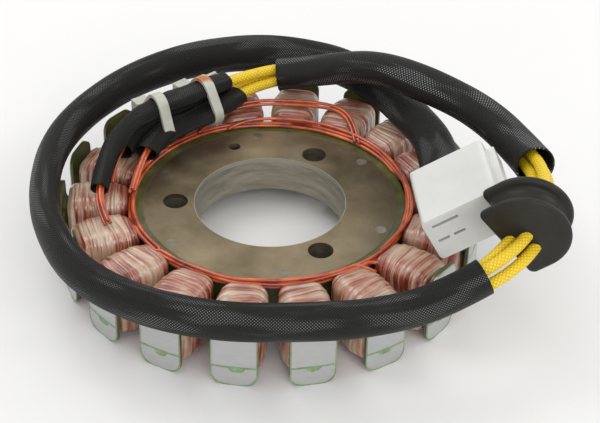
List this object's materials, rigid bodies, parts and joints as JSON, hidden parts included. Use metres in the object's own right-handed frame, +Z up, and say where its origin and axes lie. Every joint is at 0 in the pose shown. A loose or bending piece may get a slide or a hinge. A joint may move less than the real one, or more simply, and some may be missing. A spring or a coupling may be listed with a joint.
{
  "type": "alternator stator",
  "caption": "Wound stator of a small engine's alternator: laminated poles with varnished coils, output leads in sleeves, rubber grommet and nylon connector.",
  "frame": {"origin": "on the bore axis, in the plane that the lower pole tabs stand on", "axes": "+Z up along the bore axis; +X through the middle of a pole, towards the connector; +Y towards the lead exit"},
  "size_m": [0.1349, 0.1287, 0.0485],
  "materials": {
    "ground_steel": "laminations with ground pole faces",
    "coated_plate": "stained steel with an olive green epoxy coat at rim and tabs",
    "rivet_steel": "dull steel",
    "varnished_winding": "copper magnet wire under glossy cream varnish",
    "copper": "red-brown enamelled copper wire",
    "solder": "soldered joint",
    "lead_braid": "yellow varnished glass braid",
    "braided_black": "black glass braid with pale flecks",
    "sleeve_black": "soft black vinyl sleeve, glossy",
    "tie_nylon": "natural white nylon, heat stained",
    "grommet_rubber": "black moulded rubber",
    "nylon": "translucent white nylon",
    "terminal_brass": "tinned brass"
  },
  "bodies": {
    "root": {"core_stack": "ground_steel", "end_plate_upper": "coated_plate", "end_plate_lower": "coated_plate", "grommet": "grommet_rubber", "connector_housing": "nylon", "sleeve_short": "sleeve_black", "sleeve_long": "sleeve_black", "cable_tie_1": "tie_nylon", "cable_tie_2": "tie_nylon", "core_rivet_1": "rivet_steel", "core_rivet_2": "rivet_steel", "core_rivet_3": "rivet_steel", "core_rivet_4": "rivet_steel", "core_rivet_5": "rivet_steel", "core_rivet_6": "rivet_steel", "coil_01": "varnished_winding", "coil_02": "varnished_winding", "coil_03": "varnished_winding", "coil_04": "varnished_winding", "coil_05": "varnished_winding", "coil_06": "varnished_winding", "coil_07": "varnished_winding", "coil_08": "varnished_winding", "coil_09": "varnished_winding", "coil_10": "varnished_winding", "coil_11": "varnished_winding", "coil_12": "varnished_winding", "coil_13": "varnished_winding", "coil_14": "varnished_winding", "coil_15": "varnished_winding", "coil_16": "varnished_winding", "coil_17": "varnished_winding", "coil_18": "varnished_winding", "crossover_phase_1": "copper", "crossover_phase_2": "copper", "crossover_phase_3": "copper", "lead_1": "lead_braid", "lead_2": "lead_braid", "lead_3": "lead_braid", "splice_sleeve_1": "braided_black", "splice_joint_1": "solder", "tail_pair_1": "copper", "terminal_1": "terminal_brass", "splice_sleeve_2": "braided_black", "splice_joint_2": "solder", "tail_pair_2": "copper", "terminal_2": "terminal_brass", "splice_sleeve_3": "braided_black", "splice_joint_3": "solder", "tail_pair_3": "copper", "terminal_3": "terminal_brass"}
  },
  "joints": []
}
